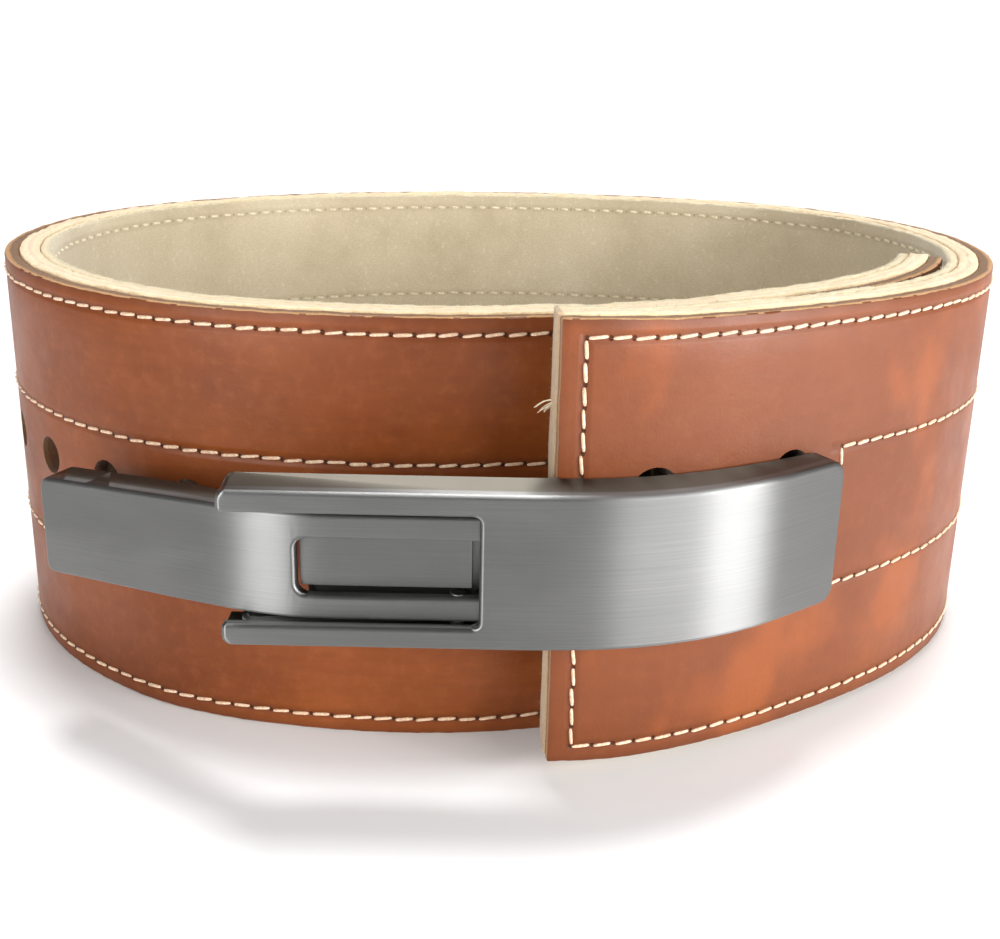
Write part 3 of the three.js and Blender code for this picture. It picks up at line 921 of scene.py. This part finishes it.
def planTool(name, outline, low, high):
    bm = bmesh.new()
    lower = [bm.verts.new((x, y, low)) for x, y in outline]
    face = bm.faces.new(lower)
    extruded = bmesh.ops.extrude_face_region(bm, geom=[face])
    lifted = [item for item in extruded["geom"] if isinstance(item, bmesh.types.BMVert)]
    bmesh.ops.translate(bm, vec=(0, 0, high - low), verts=lifted)
    bmesh.ops.recalc_face_normals(bm, faces=bm.faces)
    return fromBmesh(name, bm)


# Rounds the edges that run straight in depth through the given places, by each place's radius
def roundDepthEdges(obj, places, segments=6):
    for x, z, radius in places:
        bm = bmesh.new()
        bm.from_mesh(obj.data)
        chosen = []
        for edge in edgesAlong(bm, 1, 0.0002):
            middle = (edge.verts[0].co + edge.verts[1].co) / 2
            if abs(middle.x - x) < 0.0001 and abs(middle.z - z) < 0.0001:
                chosen.append(edge)
        if chosen:
            bmesh.ops.bevel(bm, geom=chosen, offset=radius, segments=segments, profile=0.5, affect="EDGES")
        bm.to_mesh(obj.data)
        bm.free()


# Rounds the sharp edges of the front face, at depth 0, and then all other sharp edges a little
def roundPlate(obj, frontRadius):
    bm = bmesh.new()
    bm.from_mesh(obj.data)
    bmesh.ops.remove_doubles(bm, verts=bm.verts, dist=1e-6)
    bmesh.ops.dissolve_limit(bm, angle_limit=math.radians(0.5), verts=bm.verts, edges=bm.edges)
    front = []
    for edge in bm.edges:
        flat = all(abs(vertex.co.y) < 1e-5 for vertex in edge.verts)
        if flat and len(edge.link_faces) == 2 and edge.calc_face_angle() > math.radians(50):
            front.append(edge)
    bmesh.ops.bevel(
        bm, geom=front, offset=frontRadius, segments=5, profile=0.5, affect="EDGES", clamp_overlap=True)
    bm.to_mesh(obj.data)
    bm.free()
    modifier = obj.modifiers.new("small bevel", "BEVEL")
    modifier.width = plates["smallRadius"]
    modifier.segments = 2
    modifier.limit_method = "ANGLE"
    modifier.angle_limit = math.radians(40)
    modifier.use_clamp_overlap = True
    applyAll(obj)


def sliceAlong(obj, starts):
    bm = bmesh.new()
    bm.from_mesh(obj.data)
    for x in starts:
        geom = list(bm.verts) + list(bm.edges) + list(bm.faces)
        bmesh.ops.bisect_plane(bm, geom=geom, dist=1e-7, plane_co=(x, 0, 0), plane_no=(1, 0, 0))
    bmesh.ops.triangulate(bm, faces=[face for face in bm.faces if len(face.verts) > 4])
    bm.to_mesh(obj.data)
    bm.free()


def finishSteel(obj, material, body, node, degrees=35):
    obj.data.materials.clear()
    obj.data.materials.append(material)
    shadeSmooth(obj, degrees)
    weighted = obj.modifiers.new("weighted normals", "WEIGHTED_NORMAL")
    weighted.keep_sharp = True
    weighted.weight = 80
    applyAll(obj)
    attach(obj, body)
    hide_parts(node)


# Lever handle

handle = {
    "height": 0.0345,
    "standOff": 0.0122,
    "tipReach": 0.069,
    "bendStart": -0.007,
    "radius": 0.090,
    "degrees": 40.0,
    "flatEnd": 0.0195,
    "corner": 0.004,
    "armTip": 0.0022,
    "armHeight": 0.0049,
    "slotEnd": 0.0156,
    "slotCorner": 0.0015,
    "armInnerTip": 0.0012,
    "frontRadius": 0.0011,
    "leatherGap": 0.0007,
}
handleFaceY = mouth.y - handle["standOff"]


def handlePath():
    points = [Vector((mouth.x - handle["tipReach"], handleFaceY))]
    points += arcPoints(mouth.x + handle["bendStart"], handleFaceY, handle, 1)
    angle = math.radians(handle["degrees"])
    points.append(points[-1] + handle["flatEnd"] * Vector((math.cos(angle), math.sin(angle))))
    return points


def lineLengths(points):
    lengths = [0.0]
    for before, after in zip(points, points[1:]):
        lengths.append(lengths[-1] + (after - before).length)
    return lengths


def lineAt(points, lengths, length):
    i = 1
    while i < len(points) - 1 and lengths[i] < length:
        i += 1
    share = (length - lengths[i - 1]) / (lengths[i] - lengths[i - 1])
    along = (points[i] - points[i - 1]).normalized()
    return points[i - 1].lerp(points[i], share), Vector((-along.y, along.x))


# The flanges reach back to the leather, so their back line is felt out at places along the handle
def flangeBackLine(points, lengths, deepest):
    total = lengths[-1]
    frontStrap = [pathAt(0.001 * i)[0] for i in range(111)]
    back = []
    count = 48
    for i in range(count + 1):
        length = total * i / count
        point, inward = lineAt(points, lengths, length)
        room = deepest
        if point.x > mouth.x - 0.001:
            room = 0.0
            while room < deepest:
                place = point + inward * room
                leatherAway = min((place - leather).length for leather in frontStrap)
                if leatherAway < 1.15 * handle["leatherGap"]:
                    break
                room += 0.0001
        back.append((length, max(plates["sheet"], room)))
    return back


def makeHandle():
    points = handlePath()
    lengths = lineLengths(points)
    total = lengths[-1]
    half = handle["height"] / 2
    sheet = plates["sheet"]
    past = plates["past"]
    deep = plates["deep"]
    deepest = handle["standOff"] - handle["leatherGap"]
    obj = boxTool("lever_handle_body", (0, 0, -half), (total, deepest + 0.001, half))
    back = flangeBackLine(points, lengths, deepest)
    behind = [(-past, back[0][1])] + back
    behind += [(total + past, back[-1][1]), (total + past, deep), (-past, deep)]
    boolean(obj, planTool("behind", behind, -half - past, half + past))
    boolean(obj, boxTool("hollow", (-past, sheet, sheet - half), (total + past, deep, half - sheet)))
    slotHalf = half - handle["armHeight"]
    slotRight = handle["tipReach"] - handle["slotEnd"]
    boolean(obj, boxTool("slot", (-past, -past, -slotHalf), (slotRight, deep, slotHalf)))
    corners = [(total, half, handle["corner"]), (total, -half, handle["corner"])]
    corners += [(0.0, half, handle["armTip"]), (0.0, -half, handle["armTip"])]
    corners += [(0.0, slotHalf, handle["armInnerTip"]), (0.0, -slotHalf, handle["armInnerTip"])]
    corners += [(slotRight, slotHalf, handle["slotCorner"]), (slotRight, -slotHalf, handle["slotCorner"])]
    roundDepthEdges(obj, corners)
    roundPlate(obj, handle["frontRadius"])
    bendLength = lengths[1]
    sliceCount = int((total - bendLength - handle["flatEnd"]) / plates["slice"]) + 2
    sliceAlong(obj, [bendLength + plates["slice"] * i for i in range(sliceCount)])
    flatMaps(obj)
    bendAlong(obj, makeCurve("handle_path", points))
    followStrap(obj)
    finishSteel(obj, brushed, "lever", "lever_handle")


# Hook plate: flat from its tail on the left to the bridge-side ends of its prongs on the right

hook = {
    "recess": 0.003,
    "sideClearance": 0.0006,
    "bendStart": -0.046,
    "pivotReach": 0.020,
    "radius": 0.064,
    "degrees": 35.0,
    "tail": 0.043,
    "slope": 0.15,
    "ease": 0.012,
    "sag": 0.0005,
    "prong": 0.00535,
    "flangeInside": 0.0054,
    "flangeOutside": 0.008,
    "corner": 0.0025,
    "frontRadius": 0.0009,
    "barrel": 0.0032,
    "barrelInset": 0.0005,
    "wideSlice": 0.008,
    "wideSlices": 4,
    "slices": 38,
    "earRadius": 0.0036,
    "basePivotReach": 0.062,
    "tongueLeft": 0.053,
    "tongueHeight": 0.0112,
    "clawThickness": 0.0042,
    "clawWidth": 0.0054,
    "clawDepth": 0.0075,
    "clawTip": 0.6,
}
hookHalf = handle["height"] / 2 - handle["armHeight"] - hook["sideClearance"]
basePivotX = mouth.x - hook["basePivotReach"]
hookPivotX = mouth.x - hook["pivotReach"]


def hookPath():
    faceY = handleFaceY + hook["recess"]
    points = [Vector((hookPivotX + 2 * hook["barrel"], faceY))]
    points += arcPoints(mouth.x + hook["bendStart"], faceY, hook, -1)
    angle = math.radians(hook["degrees"])
    points.append(points[-1] + hook["tail"] * Vector((-math.cos(angle), math.sin(angle))))
    return points[::-1]


# The hook plate's left end hangs a little, from the mounting plate's ears on
def droop(obj):
    start = basePivotX - 2 * hook["earRadius"]
    for vertex in obj.data.vertices:
        beyond = max(0.0, start - vertex.co.x)
        eased = min(beyond, hook["ease"])
        vertex.co.z -= hook["sag"] + hook["slope"] * (beyond - eased + eased * eased / (2 * hook["ease"]))


def makeHook():
    points = hookPath()
    lengths = lineLengths(points)
    total = lengths[-1]
    sheet = plates["sheet"]
    past = plates["past"]
    deep = plates["deep"]
    inside = hook["flangeInside"]
    outside = hook["flangeOutside"]

    def lengthAtX(x):
        return next(lengths[i] for i in range(len(points)) if points[i].x >= x)

    earLength = lengthAtX(basePivotX - hook["earRadius"])
    obj = boxTool("hook_plate_body", (0, 0, -hookHalf), (total, outside, hookHalf))
    behind = [(earLength, outside + past), (earLength, inside)]
    behind += [(total + past, inside), (total + past, outside + past)]
    boolean(obj, planTool("behind", behind, -hookHalf - past, hookHalf + past))
    hollowHalf = hookHalf - sheet
    boolean(obj, boxTool("hollow", (-past, sheet, -hollowHalf), (total + past, deep, hollowHalf)))
    windowHalf = hookHalf - hook["prong"]
    windowLeft = lengthAtX(mouth.x - hook["tongueLeft"] - windowHalf + hook["tongueHeight"] / 2)
    boolean(obj, boxTool("window", (windowLeft, -past, -windowHalf), (total + past, deep, windowHalf)))
    corners = [(0.0, hookHalf, hook["corner"]), (0.0, -hookHalf, hook["corner"])]
    corners += [(windowLeft, windowHalf, hook["corner"]), (windowLeft, -windowHalf, hook["corner"])]
    roundDepthEdges(obj, corners)
    roundPlate(obj, hook["frontRadius"])
    pivotX = lengthAtX(hookPivotX)
    for side in (-1, 1):
        ends = sorted((side * windowHalf, side * (hookHalf - hook["barrelInset"])))
        boolean(obj, roundBar("barrel", pivotX, hook["barrel"], hook["barrel"], *ends), "UNION")
    wideEnd = hook["wideSlice"] * hook["wideSlices"]
    slices = [hook["wideSlice"] * i for i in range(1, hook["wideSlices"] + 1)]
    slices += [wideEnd + plates["slice"] * i for i in range(hook["slices"])]
    sliceAlong(obj, slices)
    flatMaps(obj)
    bendAlong(obj, makeCurve("hook_path", points))
    followStrap(obj)
    droop(obj)
    boolean(obj, clawBlock(points), "UNION")
    return obj


# The claw runs from the middle of the hook plate's sheet into its hole in the strap
def clawBlock(points):
    point, inward = pathAt(holes["claw"])
    way = (points[1] - points[0]).normalized()
    seat = points[0] + Vector((-way.y, way.x)) * plates["sheet"] / 2
    root = point + inward * ((seat - point).cross(way) / inward.cross(way))
    tip = point + inward * hook["clawDepth"]
    along = Vector((-inward.y, inward.x)) * hook["clawThickness"] / 2
    outline = [root - along, root + along, tip + along * hook["clawTip"], tip - along * hook["clawTip"]]
    low = holes["height"] - hook["clawWidth"] / 2
    return planTool("claw", outline, low, low + hook["clawWidth"])


def roundBar(name, x, y, radius, low, high, sides=48):
    turns = [math.tau * i / sides for i in range(sides)]
    return planTool(name, [(x + radius * math.cos(a), y + radius * math.sin(a)) for a in turns], low, high)


# A copy of a CAD node's mesh, cleaned and with softened edges
def dressedCopy(name, node, bevel):
    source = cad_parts[node]
    mesh = source.data.copy()
    mesh.transform(source.matrix_world)
    obj = meshObject(name, mesh)
    makeActive(obj)
    bpy.ops.object.mode_set(mode="EDIT")
    bpy.ops.mesh.select_all(action="SELECT")
    bpy.ops.mesh.remove_doubles(threshold=1e-6)
    bpy.ops.mesh.dissolve_limited(angle_limit=math.radians(0.8))
    bpy.ops.mesh.normals_make_consistent(inside=False)
    bpy.ops.object.mode_set(mode="OBJECT")
    modifier = obj.modifiers.new("soft edges", "BEVEL")
    modifier.width = bevel
    modifier.segments = 3
    modifier.limit_method = "ANGLE"
    modifier.angle_limit = math.radians(35)
    modifier.use_clamp_overlap = True
    applyAll(obj)
    flatMaps(obj)
    return obj


makeHandle()
hookObject = makeHook()
finishSteel(hookObject, brushed, "hook", "hook_plate")
finishSteel(
    dressedCopy("mounting_plate_body", "mounting_plate", 0.0005), brushed, "belt",
    "mounting_plate")
for side in ("upper", "lower"):
    finishSteel(
        dressedCopy(f"base_pin_{side}", f"base_pivot_{side}", 0.0003), pinSteel, "belt",
        f"base_pivot_{side}", 50)
    finishSteel(
        dressedCopy(f"hook_pin_{side}", f"hook_pivot_{side}", 0.0003), pinSteel, "lever",
        f"hook_pivot_{side}", 50)
for number in range(1, 5):
    finishSteel(
        dressedCopy(f"screw_{number}", f"mounting_screw_{number}", 0.0003), pinSteel, "belt",
        f"mounting_screw_{number}", 50)
print("steel ready")

# Floor, light and camera

for name in ("strap_path", "handle_path", "hook_path"):
    removeObject(bpy.data.objects[name])

deselectAll()
bpy.ops.mesh.primitive_plane_add(size=80, location=(0, 0, -0.0002))
floor = bpy.context.active_object
floor.name = "floor"
floorMaterial, floorTree, floorShader = newMaterial("pale_floor")
floorShader.inputs["Base Color"].default_value = (0.90, 0.90, 0.90, 1)
floorShader.inputs["Roughness"].default_value = 0.9
floorShader.inputs["Specular IOR Level"].default_value = 0.0
floor.data.materials.append(floorMaterial)

world = bpy.data.worlds.new("studio")
bpy.context.scene.world = world
world.use_nodes = True
worldTree = world.node_tree
sky = worldTree.nodes.new("ShaderNodeTexCoord").outputs["Generated"]
split = worldTree.nodes.new("ShaderNodeSeparateXYZ")
worldTree.links.new(sky, split.inputs[0])
horizon = fade(worldTree, math2(worldTree, "ABSOLUTE", split.outputs[2]), 0.012, 0.03, 1.1, 0.0)
overhead = fade(worldTree, split.outputs[2], 0.25, 0.7, 0.12, 0.27)
strength = math2(worldTree, "ADD", horizon, overhead)
worldTree.nodes["Background"].inputs["Color"].default_value = (1, 1, 1, 1)
worldTree.links.new(strength, worldTree.nodes["Background"].inputs["Strength"])

lamps = {
    "overhead": {"kind": "SUN", "place": (0.03, 0.42, 1.5), "strength": 3.1, "angle": 20.0},
    "right": {"kind": "AREA", "place": (0.95, -0.42, 0.22), "strength": 10.0, "size": (0.34, 0.42)},
    "right_front": {"kind": "AREA", "place": (0.84, -0.84, 0.34), "strength": 10.0, "size": (0.7, 0.5)},
    "left_front": {"kind": "AREA", "place": (-0.64, -0.96, 0.32), "strength": 8.5, "size": (0.36, 0.5)},
}
for name, row in lamps.items():
    light = bpy.data.lights.new(name, row["kind"])
    light.energy = row["strength"]
    if row["kind"] == "SUN":
        light.angle = math.radians(row["angle"])
    else:
        light.shape = "RECTANGLE"
        light.size, light.size_y = row["size"]
    lamp = bpy.data.objects.new(name, light)
    bpy.context.scene.collection.objects.link(lamp)
    lamp.location = row["place"]
    lamp.rotation_euler = (Vector((0, 0, 0.05)) - Vector(row["place"])).to_track_quat("-Z", "Y").to_euler()

cameraData = bpy.data.cameras.new("camera")
cameraData.lens = 48.6
cameraData.sensor_width = 36
cameraData.sensor_fit = "HORIZONTAL"
camera = bpy.data.objects.new("camera", cameraData)
bpy.context.scene.collection.objects.link(camera)
camera.matrix_world = (
    Matrix.Translation((-0.000241, -0.36704, 0.16738))
    @ Matrix.Rotation(math.radians(90 - 19.393), 4, "X")
    @ Matrix.Rotation(math.radians(1.188), 4, "Z"))
bpy.context.scene.camera = camera
bpy.context.scene.view_settings.view_transform = "Standard"

print("stage ready")
